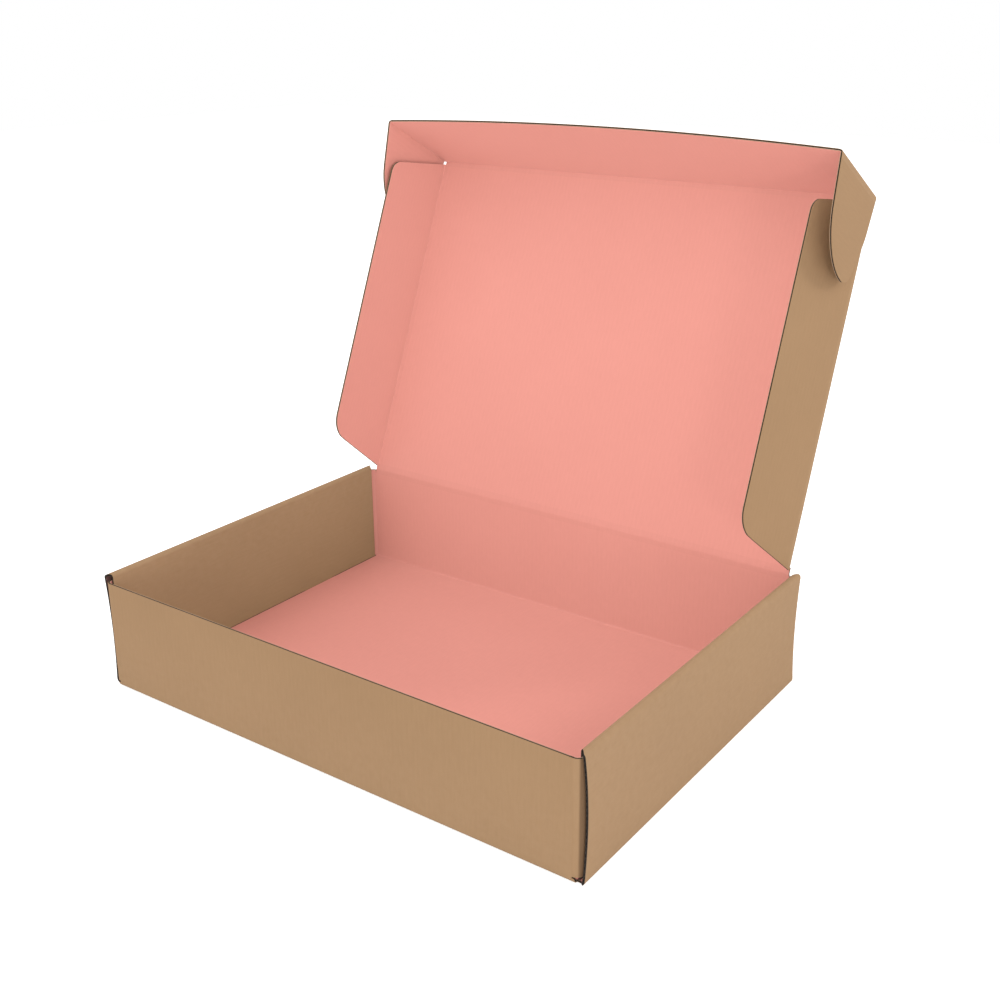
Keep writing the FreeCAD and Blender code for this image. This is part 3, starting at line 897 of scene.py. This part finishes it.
def makeFloor():
    # One square grid of points at table height.
    side = np.linspace(-studio["floorSize"] / 2, studio["floorSize"] / 2, 9)
    x, y = np.meshgrid(side, side)
    verts = np.stack([x, y, np.full(x.shape, -0.0002)], -1).reshape(-1, 3)
    index = np.arange(81).reshape(9, 9)
    quads = np.stack([index[:-1, :-1], index[:-1, 1:], index[1:, 1:], index[1:, :-1]], -1).reshape(-1, 4)
    mesh = bpy.data.meshes.new("floor")
    mesh.from_pydata(verts.tolist(), [], quads.tolist())
    material = bpy.data.materials.new("floorPaper")
    material.use_nodes = True
    tree = material.node_tree
    shader = tree.nodes["Principled BSDF"]
    shader.inputs["Base Color"].default_value = studio["floorColour"]
    shader.inputs["Roughness"].default_value = 0.9
    shader.inputs["Specular IOR Level"].default_value = 0.1
    rays = addNode(tree, "ShaderNodeLightPath", (-500, -200))
    seen = addNode(tree, "ShaderNodeMath", (-300, -200))
    seen.operation = "MAXIMUM"
    glow = addNode(tree, "ShaderNodeMath", (-150, -200))
    glow.operation = "MULTIPLY"
    glow.inputs[1].default_value = 0.6
    tree.links.new(rays.outputs["Is Camera Ray"], seen.inputs[0])
    tree.links.new(rays.outputs["Is Glossy Ray"], seen.inputs[1])
    tree.links.new(seen.outputs[0], glow.inputs[0])
    tree.links.new(glow.outputs[0], shader.inputs["Emission Strength"])
    shader.inputs["Emission Color"].default_value = (1, 1, 1, 1)
    mesh.materials.append(material)
    floor = bpy.data.objects.new("floor", mesh)
    bpy.context.scene.collection.objects.link(floor)
    floor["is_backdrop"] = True


def makeWorld():
    world = bpy.data.worlds.new("studio")
    bpy.context.scene.world = world
    world.use_nodes = True
    tree = world.node_tree
    back = tree.nodes["Background"]
    back.inputs["Color"].default_value = (1, 1, 1, 1)
    rays = addNode(tree, "ShaderNodeLightPath", (-600, 0))
    seen = addNode(tree, "ShaderNodeMath", (-400, 0))
    seen.operation = "MAXIMUM"
    more = addNode(tree, "ShaderNodeMath", (-300, -150))
    more.operation = "MAXIMUM"
    strength = addNode(tree, "ShaderNodeMapRange", (-200, 0))
    strength.inputs["To Min"].default_value = studio["worldStrength"]
    strength.inputs["To Max"].default_value = 1.0
    tree.links.new(rays.outputs["Is Camera Ray"], seen.inputs[0])
    tree.links.new(rays.outputs["Is Glossy Ray"], seen.inputs[1])
    tree.links.new(seen.outputs[0], more.inputs[0])
    tree.links.new(rays.outputs["Is Transmission Ray"], more.inputs[1])
    tree.links.new(more.outputs[0], strength.inputs["Value"])
    tree.links.new(strength.outputs["Result"], back.inputs["Strength"])


def makeLamp(name, power, place, size, target=(0, 0.05, 0.08)):
    lamp = bpy.data.lights.new(name, "AREA")
    lamp.energy, lamp.size = power, size
    holder = bpy.data.objects.new(name, lamp)
    back = unit(np.array(place) - np.array(target))
    side = unit(np.cross((0, 0, 1), back))
    turn = Matrix([[*row] for row in np.stack([side, np.cross(back, side), back], 1)])
    holder.matrix_world = Matrix.Translation(place) @ turn.to_4x4()
    bpy.context.scene.collection.objects.link(holder)


camera = {
    "yaw": 34.809,
    "pitch": 19.127,
    "place": (0.38575, -0.48284, 0.34559),
    "lens": 46.54,
    "shift": (-0.0305, -0.0487),
}


def makeCamera():
    yaw, pitch = math.radians(camera["yaw"]), math.radians(camera["pitch"])
    forward = np.array([-math.sin(yaw) * math.cos(pitch), math.cos(yaw) * math.cos(pitch), -math.sin(pitch)])
    right = unit(np.cross(forward, (0, 0, 1)))
    turn = Matrix([[*row] for row in np.stack([right, np.cross(right, forward), -forward], 1)])
    data = bpy.data.cameras.new("camera")
    data.lens, data.sensor_width = camera["lens"], 36.0
    data.shift_x, data.shift_y = camera["shift"]
    data.clip_start, data.clip_end = 0.01, 50
    holder = bpy.data.objects.new("camera", data)
    holder.matrix_world = Matrix.Translation(camera["place"]) @ turn.to_4x4()
    bpy.context.scene.collection.objects.link(holder)
    bpy.context.scene.camera = holder


makeFloor()
makeWorld()
for name, lamp in studio["lamps"].items():
    makeLamp(name, lamp["power"], lamp["place"], lamp["size"])
makeCamera()
bpy.context.scene.view_settings.view_transform = "Standard"
print("studio ready")

low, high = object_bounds()
